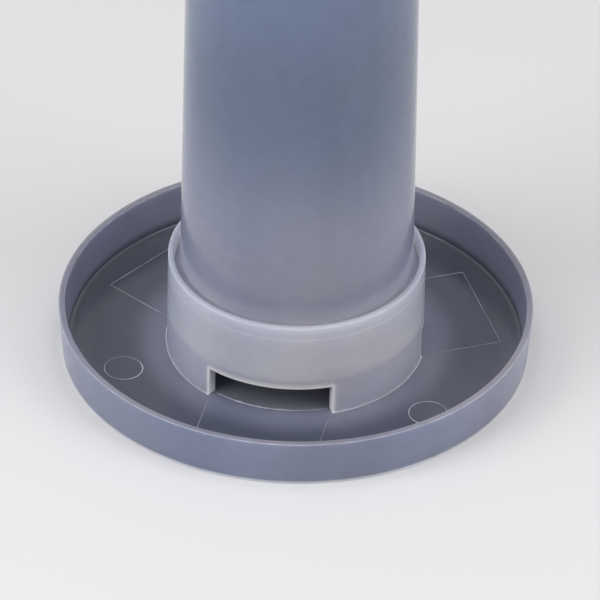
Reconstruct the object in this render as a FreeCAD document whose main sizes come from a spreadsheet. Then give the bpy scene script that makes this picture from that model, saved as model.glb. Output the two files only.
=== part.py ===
import FreeCAD, Part
import os
import Sketcher

# Vacuum drinker for chicks: a tray with a collar, and a jar that stands upside down in the collar.
# Millimetres, +Z up, origin on the axis at the underside of the tray, one water outlet facing -Y.

SIZES = {
    # tray
    "tray_radius": 100.0,        # outside of the rim at its top
    "tray_height": 21.7,         # underside to the top of the rim
    "rim_lean": 1.8,             # how much wider the rim is at its top than at its base
    "rim_wall": 2.65,            # rim thickness at the top
    "rim_foot_wall": 3.15,       # rim thickness where it meets the floor
    "floor_thickness": 3.0,
    "base_break": 0.6,           # bevel on the outer bottom edge of the tray
    "rim_break": 0.4,            # bevel on both edges of the rim's top
    "trough_break": 1.0,         # bevel in the inside corner between floor and rim
    # collar
    "collar_radius": 54.1,       # outside
    "collar_height": 47.7,       # underside of the tray to the top of the collar
    "collar_wall": 2.65,         # above the ledge
    "ledge_width": 1.25,         # step inside the collar that the jar's mouth stands on
    "ledge_height": 19.0,        # underside of the tray to the ledge
    "collar_break": 0.4,         # bevel on both edges of the collar's top
    "collar_foot_break": 0.4,    # bevel in the outside corner between collar and floor
    # water outlets through the foot of the collar
    "outlet_count": 3.0,
    "outlet_angle": 58.5,        # degrees of the collar's circle that each one opens
    "outlet_height": 13.3,
    # round ejector-pin marks in the trough, midway between the outlets
    "pin_mark_radius": 8.05,
    "pin_mark_distance": 75.6,   # axis to the centre of a mark
    "pin_mark_depth": 0.25,
    # sunk well round the moulding gate, under the middle of the tray
    "gate_well_radius": 6.0,
    "gate_well_depth": 0.8,
    # jar
    "fit_gap": 0.3,              # skirt to collar, all round
    "jar_height": 216.0,         # mouth to crown
    "jar_wall": 1.7,
    "jar_taper": 0.87,           # how much smaller the jar's radius is at the crown
    "skirt_length": 24.0,        # wider part at the mouth
    "shoulder_step": 2.12,       # how much narrower the jar is than its skirt
    "shoulder_rise": 2.0,        # height of the slope between them
    "crown_round": 9.0,          # outer edge of the closed end
    "crown_ring": 13.0,          # width of the flat ring that the jar stands on while it is filled
    "crown_dish": 2.0,           # depth of the middle of the closed end below that ring
    "dish_slope": 4.0,           # width of the slope into the dish
    "dish_round": 1.5,           # between that ring and the slope
}

OUTLET_OVERCUT = 6.0             # the outlet cutter ends this far outside the collar

# Derived radii and heights, as expressions on the sheet.
RIM_BASE_RADIUS = "Sizes.tray_radius - Sizes.rim_lean"
RIM_TOP_INSIDE = "Sizes.tray_radius - Sizes.rim_wall"
RIM_FOOT_INSIDE = (
    "Sizes.tray_radius - Sizes.rim_lean * (1 - Sizes.floor_thickness / Sizes.tray_height)"
    " - Sizes.rim_foot_wall"
)
COLLAR_INSIDE = "Sizes.collar_radius - Sizes.collar_wall"
LEDGE_INSIDE = COLLAR_INSIDE + " - Sizes.ledge_width"
SKIRT_RADIUS = COLLAR_INSIDE + " - Sizes.fit_gap"
JAR_RADIUS = SKIRT_RADIUS + " - Sizes.shoulder_step"
SHOULDER_TOP = "Sizes.skirt_length + Sizes.shoulder_rise"
CROWN_RADIUS = JAR_RADIUS + " - Sizes.jar_taper"
RING_INSIDE = CROWN_RADIUS + " - Sizes.crown_round - Sizes.crown_ring"
DISH_RADIUS = RING_INSIDE + " - Sizes.dish_slope"
DISH_HEIGHT = "Sizes.jar_height - Sizes.crown_dish"
WALL_IN = " - Sizes.jar_wall"
# Where the wall slopes, the inside corners shift so that the sloping wall is as thick as the rest.
SLOPE_IN = " - Sizes.jar_wall * tan(atan(Sizes.shoulder_step / Sizes.shoulder_rise) / 2)"
SLOPE_OUT = " + Sizes.jar_wall * tan(atan(Sizes.crown_dish / Sizes.dish_slope) / 2)"
# A bevel that leaves the same wall behind the middle of the rounded crown edge.
CORNER_BEVEL = "(Sizes.crown_round - Sizes.jar_wall) * (2 - sqrt(2))"
CUTTER_REACH = "(Sizes.collar_radius + %s)" % OUTLET_OVERCUT
CUTTER_HALF_WIDTH = CUTTER_REACH + " * tan(Sizes.outlet_angle / 2)"
HALF_PITCH = "(180 / Sizes.outlet_count)"


def make_sheet(doc):
    """Fill the spreadsheet with the driving sizes."""
    sheet = doc.addObject("Spreadsheet::Sheet", "Sizes")
    for row, (name, value) in enumerate(SIZES.items(), start=1):
        sheet.set("A%d" % row, name)
        sheet.set("B%d" % row, str(value))
        sheet.setAlias("B%d" % row, name)
    doc.recompute()
    return sheet


def make_body(doc, label):
    body = doc.addObject("PartDesign::Body", label)
    body.Label = label
    return body


def sketch_on(body, role, name):
    """A sketch on one of the body's own origin planes."""
    plane = next(item for item in body.Origin.OriginFeatures if item.Role == role)
    sketch = body.newObject("Sketcher::SketchObject", name)
    sketch.AttachmentSupport = [(plane, "")]
    sketch.MapMode = "FlatFace"
    return sketch


def pin_point(sketch, line, across, up):
    """Hold the start of a line at expressions across and up; None keeps it on that axis."""
    if across is None:
        sketch.addConstraint(Sketcher.Constraint("PointOnObject", line, 1, -2))
    else:
        place = sketch.evalExpression(across)
        index = sketch.addConstraint(Sketcher.Constraint("DistanceX", -1, 1, line, 1, place))
        sketch.setExpression("Constraints[%d]" % index, across)
    if up is None:
        sketch.addConstraint(Sketcher.Constraint("PointOnObject", line, 1, -1))
    else:
        place = sketch.evalExpression(up)
        index = sketch.addConstraint(Sketcher.Constraint("DistanceY", -1, 1, line, 1, place))
        sketch.setExpression("Constraints[%d]" % index, up)


def draw_outline(sketch, corners):
    """A closed outline through corners, each an (across, up) pair of expressions or None."""
    places = []
    for across, up in corners:
        x = 0.0 if across is None else sketch.evalExpression(across)
        y = 0.0 if up is None else sketch.evalExpression(up)
        places.append(FreeCAD.Vector(x, y, 0.0))
    count = len(places)
    for number, place in enumerate(places):
        following = places[(number + 1) % count]
        sketch.addGeometry(Part.LineSegment(place, following), False)
    for number in range(count):
        following = (number + 1) % count
        sketch.addConstraint(Sketcher.Constraint("Coincident", number, 2, following, 1))
    for number, (across, up) in enumerate(corners):
        pin_point(sketch, number, across, up)


def turn(body, sketch, kind, name):
    """A Revolution or Groove of a sketch, once round the body's Z axis."""
    feature = body.newObject("PartDesign::" + kind, name)
    feature.Profile = sketch
    feature.ReferenceAxis = (sketch, ["V_Axis"])
    feature.Angle = 360.0
    sketch.Visibility = False
    body.Tip = feature
    body.Document.recompute()
    return feature


def circles_at(feature, radius, height):
    """Names of the full circular edges of this radius and height about the Z axis."""
    wanted_radius = feature.evalExpression(radius)
    wanted_height = feature.evalExpression(height)
    names = []
    for number, edge in enumerate(feature.Shape.Edges, start=1):
        box = edge.BoundBox
        level = abs(box.ZMin - wanted_height) < 0.01 and abs(box.ZMax - wanted_height) < 0.01
        round_edge = isinstance(edge.Curve, Part.Circle)
        if level and round_edge and abs(edge.Curve.Radius - wanted_radius) < 0.01:
            names.append("Edge%d" % number)
    if not names:
        raise RuntimeError("no edge at radius %s, height %s" % (radius, height))
    return names


def dress_edges(body, base, kind, name, size, circles):
    """Fillet or Chamfer the listed (radius, height) circles of the feature called base."""
    edges = []
    for circle in circles:
        edges.extend(circles_at(base, *circle))
    feature = body.newObject("PartDesign::" + kind, name)
    feature.Base = (base, edges)
    feature.setExpression("Radius" if kind == "Fillet" else "Size", size)
    body.Tip = feature
    body.Document.recompute()
    return feature


def pocket_all_round(body, sketch, name, depth, upwards):
    """Pocket a sketch and repeat it once for every outlet; the cut has to remove material."""
    before = body.Shape.Volume
    pocket = body.newObject("PartDesign::Pocket", name)
    pocket.Profile = sketch
    pocket.setExpression("Length", depth)
    pocket.Reversed = upwards
    sketch.Visibility = False
    body.Document.recompute()
    if pocket.Shape.Volume > before - 1.0:
        raise RuntimeError(name + " cut nothing")
    pattern = body.newObject("PartDesign::PolarPattern", name + "_round")
    pattern.Originals = [pocket]
    pattern.Axis = (sketch, ["N_Axis"])
    pattern.Angle = 360.0
    pattern.setExpression("Occurrences", "Sizes.outlet_count")
    body.Tip = pattern
    body.Document.recompute()
    return pattern


def make_tray(doc):
    """Tray floor, leaning rim and stepped collar, moulded in one."""
    body = make_body(doc, "drinker_tray")
    profile = sketch_on(body, "XZ_Plane", "tray_profile")
    draw_outline(profile, [
        (None, "Sizes.gate_well_depth"),
        ("Sizes.gate_well_radius", "Sizes.gate_well_depth"),
        ("Sizes.gate_well_radius", None),
        (RIM_BASE_RADIUS, None),
        ("Sizes.tray_radius", "Sizes.tray_height"),
        (RIM_TOP_INSIDE, "Sizes.tray_height"),
        (RIM_FOOT_INSIDE, "Sizes.floor_thickness"),
        ("Sizes.collar_radius", "Sizes.floor_thickness"),
        ("Sizes.collar_radius", "Sizes.collar_height"),
        (COLLAR_INSIDE, "Sizes.collar_height"),
        (COLLAR_INSIDE, "Sizes.ledge_height"),
        (LEDGE_INSIDE, "Sizes.ledge_height"),
        (LEDGE_INSIDE, "Sizes.floor_thickness"),
        (None, "Sizes.floor_thickness"),
    ])
    solid = turn(body, profile, "Revolution", "tray_turned")
    for name, size, circles in (
        ("base_edge", "Sizes.base_break", [(RIM_BASE_RADIUS, "0")]),
        ("rim_edges", "Sizes.rim_break", [
            ("Sizes.tray_radius", "Sizes.tray_height"),
            (RIM_TOP_INSIDE, "Sizes.tray_height"),
        ]),
        ("trough_corner", "Sizes.trough_break", [(RIM_FOOT_INSIDE, "Sizes.floor_thickness")]),
        ("collar_edges", "Sizes.collar_break", [
            ("Sizes.collar_radius", "Sizes.collar_height"),
            (COLLAR_INSIDE, "Sizes.collar_height"),
        ]),
        ("collar_foot", "Sizes.collar_foot_break", [
            ("Sizes.collar_radius", "Sizes.floor_thickness"),
        ]),
    ):
        solid = dress_edges(body, solid, "Chamfer", name, size, circles)
    cut_outlets(body)
    sink_pin_marks(body)
    return body


def cut_outlets(body):
    """Water outlets: wedges with radial sides, from the floor up through the collar's foot."""
    sketch = sketch_on(body, "XY_Plane", "outlet_wedge")
    sketch.setExpression("AttachmentOffset.Base.z", "Sizes.floor_thickness")
    draw_outline(sketch, [
        (None, None),
        ("-" + CUTTER_HALF_WIDTH, "-" + CUTTER_REACH),
        (CUTTER_HALF_WIDTH, "-" + CUTTER_REACH),
    ])
    pocket_all_round(body, sketch, "outlets", "Sizes.outlet_height", True)


def sink_pin_marks(body):
    """Shallow round ejector-pin marks in the trough, half a pitch from the outlets."""
    sketch = sketch_on(body, "XY_Plane", "pin_mark_circle")
    sketch.setExpression("AttachmentOffset.Base.z", "Sizes.floor_thickness")
    across = "Sizes.pin_mark_distance * sin(%s)" % HALF_PITCH
    along = "-Sizes.pin_mark_distance * cos(%s)" % HALF_PITCH
    centre = FreeCAD.Vector(sketch.evalExpression(across), sketch.evalExpression(along), 0.0)
    radius = sketch.evalExpression("Sizes.pin_mark_radius")
    sketch.addGeometry(Part.Circle(centre, FreeCAD.Vector(0, 0, 1), radius), False)
    held = [
        (Sketcher.Constraint("DistanceX", -1, 1, 0, 3, centre.x), across),
        (Sketcher.Constraint("DistanceY", -1, 1, 0, 3, centre.y), along),
        (Sketcher.Constraint("Radius", 0, radius), "Sizes.pin_mark_radius"),
    ]
    for constraint, size in held:
        index = sketch.addConstraint(constraint)
        sketch.setExpression("Constraints[%d]" % index, size)
    pocket_all_round(body, sketch, "pin_marks", "Sizes.pin_mark_depth", False)


def make_jar(doc):
    """Jar, modelled mouth down from its own mouth plane and stood on the collar's ledge."""
    body = make_body(doc, "fount_jar")
    profile = sketch_on(body, "XZ_Plane", "jar_profile")
    draw_outline(profile, [
        (None, None),
        (SKIRT_RADIUS, None),
        (SKIRT_RADIUS, "Sizes.skirt_length"),
        (JAR_RADIUS, SHOULDER_TOP),
        (CROWN_RADIUS, "Sizes.jar_height"),
        (RING_INSIDE, "Sizes.jar_height"),
        (DISH_RADIUS, DISH_HEIGHT),
        (None, DISH_HEIGHT),
    ])
    solid = turn(body, profile, "Revolution", "jar_turned")
    solid = dress_edges(body, solid, "Fillet", "crown_edge", "Sizes.crown_round", [
        (CROWN_RADIUS, "Sizes.jar_height"),
    ])
    dress_edges(body, solid, "Fillet", "dish_edge", "Sizes.dish_round", [
        (RING_INSIDE, "Sizes.jar_height"),
    ])
    hollow_jar(body)
    body.setExpression("Placement.Base.z", "Sizes.ledge_height")
    return body


def hollow_jar(body):
    """Turn out the inside, one wall in from the outside, open at the mouth."""
    before = body.Shape.Volume
    profile = sketch_on(body, "XZ_Plane", "hollow_profile")
    draw_outline(profile, [
        (None, None),
        (SKIRT_RADIUS + WALL_IN, None),
        (SKIRT_RADIUS + WALL_IN, "Sizes.skirt_length" + SLOPE_IN),
        (JAR_RADIUS + WALL_IN, SHOULDER_TOP + SLOPE_IN),
        (CROWN_RADIUS + WALL_IN, "Sizes.jar_height" + WALL_IN + " - " + CORNER_BEVEL),
        (CROWN_RADIUS + WALL_IN + " - " + CORNER_BEVEL, "Sizes.jar_height" + WALL_IN),
        (RING_INSIDE + SLOPE_OUT, "Sizes.jar_height" + WALL_IN),
        (DISH_RADIUS + SLOPE_OUT, DISH_HEIGHT + WALL_IN),
        (None, DISH_HEIGHT + WALL_IN),
    ])
    turn(body, profile, "Groove", "jar_hollow")
    if body.Shape.Volume > before / 2.0:
        raise RuntimeError("the jar was not hollowed")


def check(doc, bodies):
    """Stop on any failed object or bad shape."""
    for item in doc.Objects:
        if "Invalid" in item.State or "Error" in item.State:
            raise RuntimeError("%s is %s" % (item.Label, item.State))
    for body in bodies:
        shape = body.Shape
        if shape.isNull() or not shape.isValid() or len(shape.Solids) != 1:
            raise RuntimeError(body.Label + " is not one valid solid")


def main():
    doc = FreeCAD.newDocument("poultry_drinker")
    make_sheet(doc)
    bodies = [make_tray(doc), make_jar(doc)]
    doc.recompute()
    check(doc, bodies)
    os.makedirs("parts", exist_ok=True)
    for body in bodies:
        body.Shape.exportStep("parts/%s.step" % body.Label)
        box = body.Shape.BoundBox
        volume = body.Shape.Volume / 1000.0
        print("%s: %.1f cm3, z %.2f to %.2f" % (body.Label, volume, box.ZMin, box.ZMax))


main()
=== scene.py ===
import math

import bmesh
import bpy
from mathutils import Matrix, Vector, noise


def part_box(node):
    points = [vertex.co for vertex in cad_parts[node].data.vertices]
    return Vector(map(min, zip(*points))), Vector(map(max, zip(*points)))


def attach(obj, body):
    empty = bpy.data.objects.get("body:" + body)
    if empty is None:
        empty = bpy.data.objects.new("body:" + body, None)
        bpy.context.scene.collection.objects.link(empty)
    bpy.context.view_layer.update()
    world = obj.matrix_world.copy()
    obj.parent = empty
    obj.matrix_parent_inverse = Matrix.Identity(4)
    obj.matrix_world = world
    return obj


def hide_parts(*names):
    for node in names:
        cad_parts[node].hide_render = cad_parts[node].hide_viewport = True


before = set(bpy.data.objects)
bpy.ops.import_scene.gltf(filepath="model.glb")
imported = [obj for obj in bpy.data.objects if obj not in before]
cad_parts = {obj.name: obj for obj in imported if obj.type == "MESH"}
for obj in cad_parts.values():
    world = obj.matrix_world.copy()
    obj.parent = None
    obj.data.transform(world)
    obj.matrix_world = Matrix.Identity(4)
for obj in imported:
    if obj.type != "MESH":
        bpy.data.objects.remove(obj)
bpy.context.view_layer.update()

# Looks of a two-piece vacuum drinker for chicks. Profiles are in millimetres and become metres
# where the meshes are made. Angles are degrees round +Z, and 0 is the outlet that faces -Y.

MM = 0.001
TRAY_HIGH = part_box("drinker_tray")[1] / MM
JAR_LOW, JAR_HIGH = (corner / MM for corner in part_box("fount_jar"))

COLUMNS = 240                   # round the axis, with the outlets' sides on columns
COLUMN_STEP = 360.0 / COLUMNS

# tray
RIM_RADIUS = TRAY_HIGH.x
RIM_HEIGHT = 21.7
RIM_LEAN = 1.8                  # how much wider the rim is at its top than at its base
RIM_WALL = 2.65                 # at the rim's top
RIM_FOOT_WALL = 3.15            # where the rim meets the floor
FLOOR = 3.0
RIM_FOOT_INSIDE = RIM_RADIUS - RIM_LEAN * (1 - FLOOR / RIM_HEIGHT) - RIM_FOOT_WALL
COLLAR_RADIUS = 54.1
COLLAR_HEIGHT = TRAY_HIGH.z
COLLAR_WALL = 2.65              # above the ledge
COLLAR_INSIDE = COLLAR_RADIUS - COLLAR_WALL
LEDGE_WIDTH = 1.25
LEDGE_INSIDE = COLLAR_INSIDE - LEDGE_WIDTH
LEDGE = JAR_LOW.z               # the jar's mouth stands on it
OUTLETS = 3
OUTLET_SPACING = 360 / OUTLETS
OUTLET_HALF_ANGLE = 29.25
OUTLET_HEIGHT = 13.3
OUTLET_TOP = FLOOR + OUTLET_HEIGHT
OUTLET_BREAK = 0.35             # round on the outlets' edges
GATE_WELL_RADIUS = 6.0
GATE_WELL_DEPTH = 0.8

# heights at which the tray's colour changes, so its outside has rows there
BASE_EDGE_TOP = 1.9             # the painted highlight on the foot of the rim reaches up to here
CUT_EDGE = 0.9                  # width of the painted highlight above an outlet
LEDGE_TONE_RISE = 2.6                # the collar's darker foot gives way to its lighter tone over this height above the ledge
COLLAR_LINE = 41.6              # faint line round the collar, read from the photo
LINE_HALF = 0.8                 # the line fades out this far above and below

# jar
SKIRT_RADIUS = JAR_HIGH.x
SKIRT_LENGTH = 24.0
SKIRT_TOP = LEDGE + SKIRT_LENGTH
SHOULDER_RISE = 2.0
SHOULDER_TOP = SKIRT_TOP + SHOULDER_RISE
SHOULDER_STEP = 2.12            # how much narrower the jar is than its skirt
JAR_RADIUS = SKIRT_RADIUS - SHOULDER_STEP
JAR_TAPER = 0.87                # how much smaller the jar's radius is at the crown
JAR_WALL = 1.7
CROWN = JAR_HIGH.z
CROWN_RADIUS = JAR_RADIUS - JAR_TAPER
CROWN_ROUND = 9.0
CROWN_RING = 13.0               # width of the flat ring of the closed end
DISH_SLOPE = 4.0
DISH_DEPTH = 2.0
RING_INSIDE = CROWN_RADIUS - (CROWN_ROUND + CROWN_RING)
DISH_RADIUS = RING_INSIDE - DISH_SLOPE
DISH = CROWN - DISH_DEPTH
FOOT_LIGHT_FADE = 6.0                 # painted light at the jar's foot fades out over this height


# ---------------------------------------------------------------- profiles

def rounded(corners, hold=0.3, steps=4):
    """Profile points from (radius, height, round) corners, with a holding point beside each arc."""
    points = []
    for number, (across, height, size) in enumerate(corners):
        here = Vector((across, height))
        if size == 0:
            points.append(here)
            continue
        before = (Vector(corners[number - 1][:2]) - here).normalized()
        after = (Vector(corners[(number + 1) % len(corners)][:2]) - here).normalized()
        half = before.angle(after) / 2
        run = size / math.tan(half)
        centre = here + (before + after).normalized() * (size / math.sin(half))
        start = here + before * run
        end = here + after * run
        points.append(start + before * hold)
        for step in range(steps + 1):
            spoke = (start - centre).slerp(end - centre, step / steps)
            points.append(centre + spoke.normalized() * size)
        points.append(end + after * hold)
    return points


def filled(points, longest=3.0):
    """The same profile with rows added along stretches that are longer than longest."""
    rows = []
    for number, here in enumerate(points):
        rows.append(here)
        if number + 1 == len(points):
            break
        following = points[number + 1]
        if here.x == 0 or following.x == 0:
            continue
        parts = math.ceil((following - here).length / longest)
        rows.extend(here.lerp(following, part / parts) for part in range(1, parts))
    return rows


def row_at(rows, across, height):
    """Index of the row at this radius and height."""
    place = Vector((across, height))
    return min(range(len(rows)), key=lambda number: (rows[number] - place).length)


def around(angle):
    """Unit vector at angle degrees from -Y, towards +X."""
    turn = math.radians(angle)
    return Vector((math.sin(turn), -math.cos(turn), 0.0))


# ---------------------------------------------------------------- meshes

def keep_mesh(bm, name, sharp=33.0):
    """A scene object from bm, in metres, smooth except where faces meet sharply."""
    bmesh.ops.recalc_face_normals(bm, faces=bm.faces)
    mesh = bpy.data.meshes.new(name)
    bm.to_mesh(mesh)
    bm.free()
    mesh.transform(Matrix.Scale(MM, 4))
    mesh.shade_smooth()
    mesh.set_sharp_from_angle(angle=math.radians(sharp))
    piece = bpy.data.objects.new(name, mesh)
    bpy.context.scene.collection.objects.link(piece)
    return piece


def lathe_grid(bm, rows):
    """Rings of vertices, one per row; a row on the axis is a single vertex."""
    rings = []
    for row in rows:
        if row.x < 1e-6:
            rings.append([bm.verts.new((0.0, 0.0, row.y))])
            continue
        ring = []
        for column in range(COLUMNS):
            spoke = around((column + 0.5) * COLUMN_STEP) * row.x
            ring.append(bm.verts.new((spoke.x, spoke.y, row.y)))
        rings.append(ring)
    return rings


def skin(bm, rings, row, column):
    """One face between row and the next, or none if both are on the axis."""
    after = (column + 1) % COLUMNS
    low, high = rings[row], rings[row + 1]
    if len(low) == 1:
        return bm.faces.new((low[0], high[column], high[after]))
    if len(high) == 1:
        return bm.faces.new((low[column], high[0], low[after]))
    return bm.faces.new((low[column], high[column], high[after], low[after]))


def tray_rows():
    """The tray's profile, from the middle of the floor over collar and rim to the gate well."""
    corners = [
        (0.0, FLOOR, 0),
        (LEDGE_INSIDE, FLOOR, 0),
        (LEDGE_INSIDE, OUTLET_TOP, 0),
        (LEDGE_INSIDE, LEDGE, 0.25),
        (COLLAR_INSIDE, LEDGE, 0),
        (COLLAR_INSIDE, COLLAR_HEIGHT, 0.7),
        (COLLAR_RADIUS, COLLAR_HEIGHT, 0.7),
        (COLLAR_RADIUS, COLLAR_LINE + LINE_HALF, 0),
        (COLLAR_RADIUS, COLLAR_LINE, 0),
        (COLLAR_RADIUS, COLLAR_LINE - LINE_HALF, 0),
        (COLLAR_RADIUS, LEDGE + LEDGE_TONE_RISE, 0),
        (COLLAR_RADIUS, LEDGE, 0),
        (COLLAR_RADIUS, OUTLET_TOP + CUT_EDGE, 0),
        (COLLAR_RADIUS, OUTLET_TOP, 0),
        (COLLAR_RADIUS, FLOOR, 0.6),
        (RIM_FOOT_INSIDE, FLOOR, 1.5),
        (RIM_RADIUS - RIM_WALL, RIM_HEIGHT, 0.4),
        (RIM_RADIUS, RIM_HEIGHT, 0.4),
        (RIM_RADIUS - RIM_LEAN * (1 - BASE_EDGE_TOP / RIM_HEIGHT), BASE_EDGE_TOP, 0),
        (RIM_RADIUS - RIM_LEAN, 0.0, 0.7),
        (GATE_WELL_RADIUS, 0.0, 0.15),
        (GATE_WELL_RADIUS, GATE_WELL_DEPTH, 0.15),
        (0.0, GATE_WELL_DEPTH, 0),
    ]
    return filled(rounded(corners))


def make_tray():
    """Floor, rim and collar in one skin, with the outlets left open through the collar's foot."""
    rows = tray_rows()
    foot_in = row_at(rows, LEDGE_INSIDE, FLOOR)
    top_in = row_at(rows, LEDGE_INSIDE, OUTLET_TOP)
    top_out = row_at(rows, COLLAR_RADIUS, OUTLET_TOP)
    foot_out = next(n for n in range(top_out, len(rows)) if abs(rows[n].y - FLOOR) < 1e-4)
    half = round(OUTLET_HALF_ANGLE / COLUMN_STEP - 0.5)
    open_cells = set()
    sides = []
    for outlet in range(OUTLETS):
        middle = round(outlet * COLUMNS / OUTLETS)
        first, last = (middle - half - 1) % COLUMNS, (middle + half) % COLUMNS
        sides += [first, last]
        open_cells.update((first + step) % COLUMNS for step in range(2 * half + 1))
    bm = bmesh.new()
    rings = lathe_grid(bm, rows)
    for row in range(len(rows) - 1):
        through = foot_in <= row < top_in or top_out <= row < foot_out
        for column in range(COLUMNS):
            if not (through and column in open_cells):
                skin(bm, rings, row, column)
    for column in open_cells:
        after = (column + 1) % COLUMNS
        for inner, outer in ((foot_in, foot_out), (top_in, top_out)):
            bm.faces.new((
                rings[inner][column], rings[inner][after],
                rings[outer][after], rings[outer][column],
            ))
    for column in sides:
        outline = [rings[row][column] for row in range(foot_in, top_in + 1)]
        outline += [rings[row][column] for row in range(top_out, foot_out + 1)]
        bm.faces.new(outline)
    bmesh.ops.delete(bm, geom=[v for v in bm.verts if not v.link_faces], context="VERTS")
    break_outlet_edges(bm)
    return keep_mesh(bm, "tray_shell")


def break_outlet_edges(bm):
    """A small round on the edges of the outlets."""
    edges = []
    for edge in bm.edges:
        if len(edge.link_faces) != 2 or edge.calc_face_angle(0.0) < math.radians(50):
            continue
        middle = (edge.verts[0].co + edge.verts[1].co) / 2
        across = math.hypot(middle.x, middle.y)
        wall = LEDGE_INSIDE - 0.5 < across < COLLAR_RADIUS + 0.3
        if wall and FLOOR + 0.9 < middle.z < OUTLET_TOP + 0.1:
            edges.append(edge)
    bmesh.ops.bevel(
        bm, geom=edges, offset=OUTLET_BREAK, offset_type="OFFSET", segments=2, profile=0.5,
        affect="EDGES", clamp_overlap=True,
    )


def jar_rows():
    """The jar's profile, from the dish down the outside to the mouth and back up inside.

    The two corners above the shoulder only add rows for the fade of colour there.
    """
    bevel = (CROWN_ROUND - JAR_WALL) * (2 - math.sqrt(2))
    inside = SKIRT_RADIUS - JAR_WALL
    neck = JAR_RADIUS - JAR_WALL
    corners = [
        (0.0, DISH, 0),
        (DISH_RADIUS, DISH, 3.0),
        (RING_INSIDE, CROWN, 1.5),
        (CROWN_RADIUS, CROWN, CROWN_ROUND),
        (JAR_RADIUS - 0.02, SHOULDER_TOP + 4.0, 0),
        (JAR_RADIUS - 0.01, SHOULDER_TOP + 2.0, 0),
        (JAR_RADIUS, SHOULDER_TOP, 1.2),
        (SKIRT_RADIUS, SKIRT_TOP, 0.6),
        (SKIRT_RADIUS, LEDGE, 0.4),
        (inside, LEDGE, 0.4),
        (inside, SKIRT_TOP - 0.8, 1.0),
        (neck, SHOULDER_TOP - 0.8, 1.0),
        (CROWN_RADIUS - JAR_WALL, CROWN - JAR_WALL - bevel, 2.0),
        (CROWN_RADIUS - JAR_WALL - bevel, CROWN - JAR_WALL, 2.0),
        (RING_INSIDE + 0.4, CROWN - JAR_WALL, 1.0),
        (DISH_RADIUS + 0.4, DISH - JAR_WALL, 1.0),
        (0.0, DISH - JAR_WALL, 0),
    ]
    return filled(rounded(corners, steps=6), longest=6.0)


def make_jar():
    rows = jar_rows()
    bm = bmesh.new()
    rings = lathe_grid(bm, rows)
    for row in range(len(rows) - 1):
        for column in range(COLUMNS):
            skin(bm, rings, row, column)
    return keep_mesh(bm, "jar_shell")


# ---------------------------------------------------------------- mould marks

INSERT_HALF_WIDTH = 26.0        # the mould's insert in front of each outlet
INSERT_START = COLLAR_RADIUS * 0.92
INSERT_REACH = 82.7
INSERT_LINES = ((0, 0.17), (120, 0.26), (240, 0.34))    # angle and width of the line there
PIN_MARK_ANGLES = (60, 180, 300)
PIN_MARK_DISTANCE = 75.6
PIN_MARK_RADIUS = 8.05
FLASH_HALF_ANGLE = 28
GATE_COLUMNS = 24
SUNK = 0.08                     # how far a mark's skin dips below the face that it stands on


def ridge(bm, path, width, height, closed=False, wobble=0.25):
    """A low round-backed ridge along path, points on a level face; its ends taper away."""
    count = len(path)
    sections = []
    for number, point in enumerate(path):
        before = path[number - 1] if closed or number else point
        after = path[(number + 1) % count] if closed or number + 1 < count else point
        along = (after - before).normalized()
        side = Vector((-along.y, along.x, 0.0))
        change = 1.0 + wobble * noise.noise(point * 0.35)
        taper = 1.0 if closed else min(1.0, 0.15 + number / 4, 0.15 + (count - 1 - number) / 4)
        half, top = width * change * taper / 2, height * change * taper
        sections.append([
            bm.verts.new(point + side * (half * across) + Vector((0, 0, top * rise - SUNK)))
            for across, rise in ((-1, 0), (-0.95, 0.55), (-0.5, 1), (0.5, 1), (0.95, 0.55), (1, 0))
        ])
        for vertex in sections[-1][1:-1]:
            vertex.co.z += SUNK
    size = len(sections[0])
    for number in range(count if closed else count - 1):
        here, following = sections[number], sections[(number + 1) % count]
        for corner in range(size):
            after = (corner + 1) % size
            bm.faces.new((here[corner], here[after], following[after], following[corner]))
    if not closed:
        bm.faces.new(sections[0])
        bm.faces.new(reversed(sections[-1]))


def line_points(start, end, step=1.5):
    parts = max(2, round((end - start).length / step))
    return [start.lerp(end, part / parts) for part in range(parts + 1)]


def on_floor(angle, ahead, side):
    """A point of the trough floor, ahead along angle and side to its left hand, outwards up."""
    out, across = around(angle), around(angle + 90)
    place = out * ahead + across * side
    return Vector((place.x, place.y, FLOOR))


def insert_marks():
    """The thin line that the edge of each mould insert left on the trough floor."""
    bm = bmesh.new()
    for angle, width in INSERT_LINES:
        corners = [
            on_floor(angle, INSERT_START, -INSERT_HALF_WIDTH),
            on_floor(angle, INSERT_REACH, -INSERT_HALF_WIDTH),
            on_floor(angle, INSERT_REACH, INSERT_HALF_WIDTH),
            on_floor(angle, INSERT_START, INSERT_HALF_WIDTH),
        ]
        path = corners[:1]
        for here, following in zip(corners, corners[1:]):
            path += line_points(here, following)[1:]
        ridge(bm, path, width, height=0.12)
    return keep_mesh(bm, "insert_marks")


def pin_rings():
    """The raised ring of flash round each ejector-pin mark."""
    bm = bmesh.new()
    for angle in PIN_MARK_ANGLES:
        centre = around(angle) * PIN_MARK_DISTANCE + Vector((0, 0, FLOOR))
        path = [centre + around(step * 5) * PIN_MARK_RADIUS for step in range(72)]
        ridge(bm, path, width=0.42, height=0.13, closed=True, wobble=0.6)
    return keep_mesh(bm, "pin_mark_rings")


def outlet_flash():
    """Thin flash on the floor where the mould closed, across each outlet."""
    bm = bmesh.new()
    for outlet in range(OUTLETS):
        middle = outlet * OUTLET_SPACING
        path = [
            around(middle + turn) * (LEDGE_INSIDE + 0.8) + Vector((0, 0, FLOOR))
            for turn in range(-FLASH_HALF_ANGLE, FLASH_HALF_ANGLE + 1)
        ]
        ridge(bm, path, width=0.5, height=0.3, wobble=0.8)
    return keep_mesh(bm, "outlet_flash")


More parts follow.
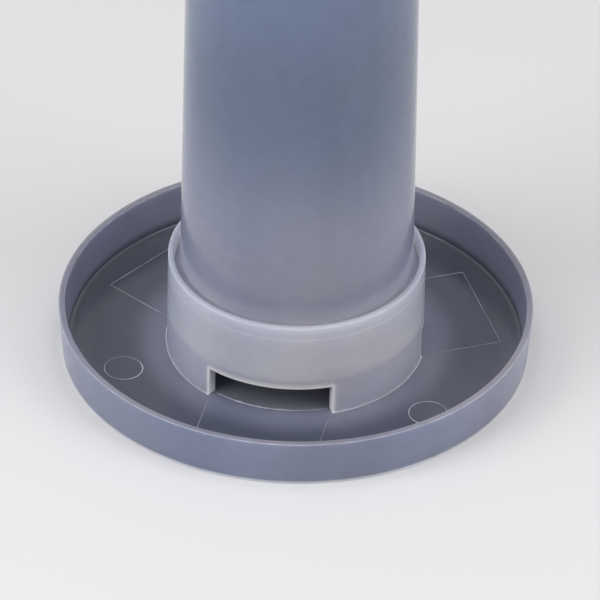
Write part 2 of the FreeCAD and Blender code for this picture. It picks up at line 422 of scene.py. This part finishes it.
def gate_mark(name, height, up, radius, rise):
    """The stub where the sprue was broken off, with an uneven top."""
    bm = bmesh.new()
    rows = [
        (radius * 1.5, 0.0), (radius * 1.1, rise * 0.25), (radius, rise * 0.7),
        (radius * 0.8, rise), (radius * 0.3, rise * 0.9),
    ]
    rings = []
    for across, lift in rows:
        ring = []
        for column in range(GATE_COLUMNS):
            spoke = around(column * 360 / GATE_COLUMNS)
            rough = 1 + 0.08 * noise.noise(spoke * 2.3 + Vector((across, lift, 5.0)))
            ring.append(bm.verts.new((
                spoke.x * across * rough, spoke.y * across * rough,
                height + up * (lift * rough - 0.1),
            )))
        rings.append(ring)
    for low, high in zip(rings, rings[1:]):
        for column in range(GATE_COLUMNS):
            after = (column + 1) % GATE_COLUMNS
            bm.faces.new((low[column], low[after], high[after], high[column]))
    bm.faces.new(rings[0])
    bm.faces.new(rings[-1])
    return keep_mesh(bm, name)


# ---------------------------------------------------------------- colour

def smooth(low, high, value):
    """0 below low, 1 above high, and a smooth step between them."""
    share = min(1.0, max(0.0, (value - low) / (high - low)))
    return share * share * (3 - 2 * share)


def mixed(one, two, share):
    return tuple(a + (b - a) * share for a, b in zip(one, two))


# Tones are linear colours. They stand in for how much light each part of the plastic passes on.
JAR_BLUE = (0.165, 0.20, 0.295)
JAR_TOP = (0.205, 0.25, 0.385)
# painted reflection of the tray on the jar's lower part, which also offsets the shade of tray and
# collar
JAR_LOW_REFLECTION = (0.285, 0.302, 0.395)
COLLAR_MILK = (0.555, 0.575, 0.705)
# painted light on the jar's skirt and foot, against the shade of collar and lip, with the lip's
# painted reflection
SKIRT_PAINTED_LIGHT = COLLAR_MILK
COLLAR_BAND = (0.625, 0.645, 0.775)
COLLAR_FOOT = (0.52, 0.53, 0.655)
# painted light: the collar's inside is as light as if light came through its wall into the gap
# round the jar
COLLAR_IN = (0.93, 0.94, 1.0)
LINE_TONE = (0.74, 0.75, 0.84)
COLLAR_LIP = (0.46, 0.475, 0.555)
# painted highlight: the glow of light leaving the plastic at the outlets' cut edges
CUT = (0.94, 0.94, 0.96)
TROUGH = (0.086, 0.097, 0.138)
# painted reflection of the collar in the trough floor, spread all round it
TROUGH_BY_COLLAR = (0.24, 0.255, 0.335)
# painted light by the rim's foot, against the shade that the rim casts
TROUGH_BY_RIM = (0.135, 0.145, 0.19)
INSERT_TINT = (0.95, 0.965, 1.02)
RIM_IN = (0.31, 0.325, 0.39)
# painted highlight on the round where the rim meets the trough floor
RIM_CORNER = (0.24, 0.25, 0.30)
RIM_OUT = (0.23, 0.25, 0.34)
RIM_TOP = (0.235, 0.235, 0.285)
# painted highlight along the edges of the rim's top
RIM_EDGE = (0.46, 0.47, 0.54)
# painted highlight on the rounded foot of the rim
BASE_EDGE = (0.66, 0.67, 0.73)
# painted light in the hollow under the jar, lighter than the open plastic, standing in for light
# that comes through the walls
INSIDE = (0.66, 0.67, 0.74)
INSIDE_FLOOR = (0.22, 0.235, 0.29)
MARK = (0.40, 0.42, 0.50)

# heights between which one of the jar's tones gives way to the next
REFLECTION_TO_BLUE = (75, 148)
BLUE_TO_TOP = (160, 225)

# widths of the trough's painted light: a painted reflection of the collar, and painted light by the
# rim against its shade
BY_COLLAR = 18
BY_RIM = 13


def from_outlet(place):
    """Distance along the collar's outside from the nearest outlet's edge."""
    angle = math.degrees(math.atan2(place.x, -place.y))
    off = abs((angle + OUTLET_SPACING / 2) % OUTLET_SPACING - OUTLET_SPACING / 2)
    beside = math.radians(max(0.0, off - OUTLET_HALF_ANGLE)) * COLLAR_RADIUS
    return math.hypot(beside, max(0.0, place.z - OUTLET_TOP))


def collar_tone(place):
    """Lighter above the ledge and darker below it, a faint lighter line, and white at a cut outlet:
    a painted highlight.
    """
    tone = mixed(COLLAR_BAND, COLLAR_MILK, smooth(LEDGE + 5, LEDGE + 17, place.z))
    tone = mixed(COLLAR_FOOT, tone, smooth(LEDGE, LEDGE + LEDGE_TONE_RISE, place.z))
    tone = mixed(tone, LINE_TONE, 0.5 * max(0.0, 1 - abs(place.z - COLLAR_LINE) / LINE_HALF))
    # painted highlight along the edges of the outlets
    return mixed(CUT, tone, smooth(0.8, 1.7, from_outlet(place)))


def trough_tone(place):
    """The same all round: lighter by the collar, a painted reflection of it, and by the rim,
    painted light against the rim's shade; a little bluer in the inserts.
    """
    across = math.hypot(place.x, place.y)
    # painted reflection of the collar, then painted light by the rim
    tone = mixed(TROUGH_BY_COLLAR, TROUGH, smooth(COLLAR_RADIUS, COLLAR_RADIUS + BY_COLLAR, across))
    tone = mixed(tone, TROUGH_BY_RIM, smooth(RIM_FOOT_INSIDE - BY_RIM, RIM_FOOT_INSIDE, across))
    for outlet in range(OUTLETS):
        angle = outlet * OUTLET_SPACING
        ahead, beside = place.dot(around(angle)), abs(place.dot(around(angle + 90)))
        inside = 1 - smooth(INSERT_HALF_WIDTH - 1, INSERT_HALF_WIDTH + 1, beside)
        inside *= smooth(0, 1, ahead) * (1 - smooth(INSERT_REACH - 1, INSERT_REACH + 1, ahead))
        tone = tuple(part * (1 + (tint - 1) * inside) for part, tint in zip(tone, INSERT_TINT))
    return tone


def tray_tone(place, middle, normal):
    """Colour of a point of the tray, by where it is and which way its face looks."""
    across = math.hypot(middle.x, middle.y)
    outward = (normal.x * middle.x + normal.y * middle.y) / max(across, 1e-6)
    sideways = abs(normal.x * middle.y - normal.y * middle.x) / max(across, 1e-6)
    in_collar = LEDGE_INSIDE - 0.5 < across < COLLAR_RADIUS + 0.5
    by_outlet = in_collar and FLOOR + 0.1 < middle.z < OUTLET_TOP + 0.5
    # the outlets' cut faces: painted highlight
    if by_outlet and (sideways > 0.3 or normal.z < -0.3):
        return CUT
    # the hollow under the jar: painted light
    if across < LEDGE_INSIDE + 0.6 and middle.z < OUTLET_TOP + 3:
        return INSIDE_FLOOR if normal.z > 0.8 else INSIDE
    if across < COLLAR_RADIUS + 0.7 and middle.z > FLOOR + 0.01:
        if normal.z > 0.5 and middle.z > COLLAR_HEIGHT - 2:
            return COLLAR_LIP
        # the collar's inside: painted light
        if outward < 0.3:
            return COLLAR_IN
        return collar_tone(place)
    if normal.z > 0.8 and middle.z < FLOOR + 1:
        return trough_tone(place)
    # the round at the rim's foot: painted highlight
    if outward < 0 and normal.z > 0.3 and middle.z < FLOOR + 2:
        return RIM_CORNER
    if normal.z > 0.8:
        return RIM_TOP
    # the edges of the rim's top: a painted highlight, made uneven along its length
    if normal.z > 0.25 and middle.z > RIM_HEIGHT - 1:
        highlight_strength = 0.95 + 0.7 * noise.noise(place * 0.22)
        return tuple(part * highlight_strength for part in RIM_EDGE)
    if outward < 0:
        return mixed(TROUGH, RIM_IN, smooth(FLOOR, FLOOR + 5, place.z))
    # the foot of the rim: painted highlight
    return mixed(BASE_EDGE, RIM_OUT, smooth(1.0, BASE_EDGE_TOP, place.z))


def jar_tone(place, middle, normal):
    """Bluish half way up, lighter towards the mouth, where the tray's reflection and the light at
    the foot are painted, and a stronger blue at the closed end.
    """
    # painted reflection of the tray, fading out between these heights
    wall = mixed(JAR_LOW_REFLECTION, JAR_BLUE, smooth(*REFLECTION_TO_BLUE, place.z))
    wall = mixed(wall, JAR_TOP, smooth(*BLUE_TO_TOP, place.z))
    # painted light on the skirt and foot, fading out above the shoulder
    return mixed(SKIRT_PAINTED_LIGHT, wall, smooth(SHOULDER_TOP, SHOULDER_TOP + FOOT_LIGHT_FADE, place.z))


def mark_tone(place, middle, normal):
    """Brighter and fainter stretches along a mark."""
    strength = 0.95 + 0.75 * noise.noise(Vector((place.x, place.y, 40.0)) * 0.09)
    return tuple(part * strength for part in MARK)


def tray_material(face):
    """0 for most faces; 1 at the outlets' cut edges and the foot of the rim, where light stays
    near the face; 2 inside the collar above the ledge, where it comes through the wall.
    """
    middle, normal = face.center / MM, face.normal
    across = math.hypot(middle.x, middle.y)
    if across > RIM_FOOT_INSIDE:
        return 1 if middle.z < 1.2 else 0
    if COLLAR_INSIDE - 0.3 < across < COLLAR_INSIDE + 0.3 and middle.z > LEDGE + 1:
        return 2
    in_collar = LEDGE_INSIDE - 0.5 < across < COLLAR_RADIUS + 0.5
    if not in_collar or not FLOOR + 0.1 < middle.z < OUTLET_TOP + 1:
        return 0
    sideways = abs(normal.x * middle.y - normal.y * middle.x) / across
    beside = across > COLLAR_RADIUS - 0.5 and from_outlet(middle) < 1.0
    return 1 if beside or sideways > 0.3 or normal.z < -0.3 else 0


def paint(piece, tone):
    """Store tone(place, face middle, face normal) as the colour attribute called tone."""
    mesh = piece.data
    layer = mesh.color_attributes.new("tone", "FLOAT_COLOR", "CORNER")
    places = [vertex.co / MM for vertex in mesh.vertices]
    for face in mesh.polygons:
        middle = face.center / MM
        for corner in face.loop_indices:
            place = places[mesh.loops[corner].vertex_index]
            layer.data[corner].color = (*tone(place, middle, face.normal), 1.0)


def polypropylene(name, see_through, gloss, depth):
    """Translucent polypropylene: the piece's tone, clouded and speckled, with a fine surface.

    gloss is its roughness, and depth is how far light spreads inside it, in millimetres.
    """
    material = bpy.data.materials.new(name)
    material.use_nodes = True
    nodes, links = material.node_tree.nodes, material.node_tree.links
    shader = nodes["Principled BSDF"]
    shader.inputs["IOR"].default_value = 1.49
    shader.inputs["Transmission Weight"].default_value = see_through
    shader.inputs["Subsurface Weight"].default_value = 0.85
    shader.inputs["Subsurface Radius"].default_value = (1.0, 1.0, 1.15)
    shader.inputs["Subsurface Scale"].default_value = depth * MM
    shader.inputs["Specular IOR Level"].default_value = 0.35

    place = nodes.new("ShaderNodeTexCoord")
    tone = nodes.new("ShaderNodeAttribute")
    tone.attribute_name = "tone"

    def clouds(scale, detail, low, high, stretch=(1, 1, 1)):
        """Noise in the piece's own space, as a number from low to high."""
        space = nodes.new("ShaderNodeMapping")
        space.inputs["Scale"].default_value = stretch
        grain = nodes.new("ShaderNodeTexNoise")
        grain.inputs["Scale"].default_value = scale
        grain.inputs["Detail"].default_value = detail
        reach = nodes.new("ShaderNodeMapRange")
        reach.interpolation_type = "SMOOTHSTEP"
        reach.inputs["From Min"].default_value = 0.15
        reach.inputs["From Max"].default_value = 0.85
        reach.inputs["To Min"].default_value = low
        reach.inputs["To Max"].default_value = high
        links.new(place.outputs["Object"], space.inputs["Vector"])
        links.new(space.outputs["Vector"], grain.inputs["Vector"])
        links.new(grain.outputs["Fac"], reach.inputs["Value"])
        return reach.outputs["Result"]

    def scaled(colour, factor):
        product = nodes.new("ShaderNodeVectorMath")
        product.operation = "SCALE"
        links.new(colour, product.inputs["Vector"])
        links.new(factor, product.inputs["Scale"])
        return product.outputs["Vector"]

    drift = nodes.new("ShaderNodeMix")
    drift.data_type = "VECTOR"
    drift.inputs["A"].default_value = (0.96, 1.0, 1.06)
    drift.inputs["B"].default_value = (1.05, 1.0, 0.94)
    links.new(clouds(13, 2, 0.0, 1.0, (1, 1, 0.5)), drift.inputs["Factor"])
    tinted = nodes.new("ShaderNodeVectorMath")
    tinted.operation = "MULTIPLY"
    links.new(tone.outputs["Color"], tinted.inputs[0])
    links.new(drift.outputs["Result"], tinted.inputs[1])
    colour = scaled(tinted.outputs["Vector"], clouds(17, 3, 0.87, 1.13, (1, 1, 0.4)))
    colour = scaled(colour, clouds(190, 2, 0.97, 1.03))
    links.new(colour, shader.inputs["Base Color"])
    links.new(clouds(30, 2, gloss - 0.02, gloss + 0.02), shader.inputs["Roughness"])
    surface = nodes.new("ShaderNodeBump")
    surface.inputs["Strength"].default_value = 0.03
    surface.inputs["Distance"].default_value = 0.0002
    links.new(clouds(1400, 2, 0.0, 1.0), surface.inputs["Height"])
    links.new(surface.outputs["Normal"], shader.inputs["Normal"])
    return material


# ---------------------------------------------------------------- pieces

TRAY_PLASTIC = polypropylene("tray_polypropylene", see_through=0.12, gloss=0.18, depth=8.0)
SEAT_PLASTIC = polypropylene("tray_seat_polypropylene", see_through=0.12, gloss=0.18, depth=18.0)
MARK_PLASTIC = polypropylene("tray_mark_polypropylene", see_through=0.0, gloss=0.22, depth=0.8)
JAR_PLASTIC = polypropylene("jar_polypropylene", see_through=0.15, gloss=0.14, depth=7.0)


def dress(piece, body, material, tone):
    """Give piece its tones and material, and let it ride on body."""
    paint(piece, tone)
    piece.data.materials.append(material)
    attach(piece, body)


tray_shell = make_tray()
dress(tray_shell, "tray", TRAY_PLASTIC, tray_tone)
tray_shell.data.materials.append(MARK_PLASTIC)
tray_shell.data.materials.append(SEAT_PLASTIC)
for face in tray_shell.data.polygons:
    face.material_index = tray_material(face)
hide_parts("drinker_tray")
jar_shell = make_jar()
dress(jar_shell, "jar", JAR_PLASTIC, jar_tone)
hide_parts("fount_jar")
for mark in (insert_marks(), pin_rings(), outlet_flash()):
    dress(mark, "tray", MARK_PLASTIC, mark_tone)
dress(
    gate_mark("tray_gate_mark", height=GATE_WELL_DEPTH, up=-1, radius=1.3, rise=0.65),
    "tray", MARK_PLASTIC, mark_tone,
)
dress(
    gate_mark("jar_gate_mark", height=DISH, up=1, radius=1.5, rise=0.8),
    "jar", JAR_PLASTIC, mark_tone,
)


# ---------------------------------------------------------------- studio

VIEW_TURN = 12.0                # degrees from -Y to the side that the camera sees
CAMERA_PLACE = (0.00168, -4.14174, 3.04101)             # before that turn, in metres
CAMERA_PITCH = 36.078           # degrees down
CAMERA_ROLL = 0.0204            # radians
CAMERA_LENS = 730.56
LAMPS_AIM = (0, 0, 0.08)
FLOOR_HALF = 40.0
FLOOR_COLOUR = (0.73, 0.73, 0.74, 1)


def stage_floor():
    """A plain pale floor that keeps the part's shadow."""
    half = FLOOR_HALF
    mesh = bpy.data.meshes.new("studio_floor")
    mesh.from_pydata(
        [(-half, -half, 0), (half, -half, 0), (half, half, 0), (-half, half, 0)], [],
        [(0, 1, 2, 3)],
    )
    floor = bpy.data.objects.new("studio_floor", mesh)
    bpy.context.scene.collection.objects.link(floor)
    material = bpy.data.materials.new("studio_floor")
    material.use_nodes = True
    shader = material.node_tree.nodes["Principled BSDF"]
    shader.inputs["Base Color"].default_value = FLOOR_COLOUR
    shader.inputs["Roughness"].default_value = 0.9
    shader.inputs["Specular IOR Level"].default_value = 0.1
    floor.data.materials.append(material)


def softbox(name, side, front, height, width, tall, power):
    """A soft rectangular light, placed by the camera's right and front, that faces the part."""
    right, towards = around(VIEW_TURN + 90), around(VIEW_TURN)
    place = right * side + towards * front + Vector((0, 0, height))
    lamp = bpy.data.lights.new(name, "AREA")
    lamp.shape = "RECTANGLE"
    lamp.size = width
    lamp.size_y = tall
    lamp.energy = power
    item = bpy.data.objects.new(name, lamp)
    item.location = place
    item.rotation_euler = (Vector(LAMPS_AIM) - place).to_track_quat("-Z", "Y").to_euler()
    bpy.context.scene.collection.objects.link(item)


def studio_world(strength, seen):
    """Soft light from all round; cameras and reflections see the pale background."""
    world = bpy.data.worlds.new("studio")
    bpy.context.scene.world = world
    world.use_nodes = True
    nodes, links = world.node_tree.nodes, world.node_tree.links
    nodes.clear()
    out = nodes.new("ShaderNodeOutputWorld")
    soft = nodes.new("ShaderNodeBackground")
    soft.inputs["Color"].default_value = (1, 1, 1, 1)
    soft.inputs["Strength"].default_value = strength
    pale = nodes.new("ShaderNodeBackground")
    pale.inputs["Color"].default_value = (seen, seen, seen, 1)
    path = nodes.new("ShaderNodeLightPath")
    either = path.outputs["Is Camera Ray"]
    for ray in ("Is Glossy Ray", "Is Transmission Ray"):
        most = nodes.new("ShaderNodeMath")
        most.operation = "MAXIMUM"
        links.new(either, most.inputs[0])
        links.new(path.outputs[ray], most.inputs[1])
        either = most.outputs["Value"]
    mix = nodes.new("ShaderNodeMixShader")
    links.new(either, mix.inputs["Fac"])
    links.new(soft.outputs["Background"], mix.inputs[1])
    links.new(pale.outputs["Background"], mix.inputs[2])
    links.new(mix.outputs["Shader"], out.inputs["Surface"])


def studio_camera():
    """A long lens that looks about 36 degrees down on the tray."""
    turn = Matrix.Rotation(math.radians(VIEW_TURN), 3, "Z")
    pitch = math.radians(CAMERA_PITCH)
    roll = CAMERA_ROLL
    forward = Vector((0, math.cos(pitch), -math.sin(pitch)))
    level = Vector((1, 0, 0))
    upward = level.cross(forward)
    right = math.cos(roll) * level + math.sin(roll) * upward
    above = -math.sin(roll) * level + math.cos(roll) * upward
    axes = Matrix((turn @ right, turn @ above, turn @ -forward)).transposed()
    lens = bpy.data.cameras.new("studio_camera")
    lens.sensor_width = 36.0
    lens.lens = CAMERA_LENS
    lens.clip_start = 0.1
    lens.clip_end = 200.0
    camera = bpy.data.objects.new("studio_camera", lens)
    camera.matrix_world = Matrix.Translation(turn @ Vector(CAMERA_PLACE))
    camera.matrix_world = camera.matrix_world @ axes.to_4x4()
    bpy.context.scene.collection.objects.link(camera)
    bpy.context.scene.camera = camera


stage_floor()
softbox("softbox_left", side=-1.3, front=0.68, height=0.9, width=1.0, tall=1.4, power=16)
softbox("softbox_right", side=1.3, front=0.68, height=0.9, width=1.0, tall=1.4, power=11)
softbox("softbox_top", side=0.0, front=0.3, height=2.0, width=1.6, tall=1.6, power=14)
studio_world(strength=0.42, seen=0.8)
studio_camera()
bpy.context.scene.view_settings.view_transform = "Standard"
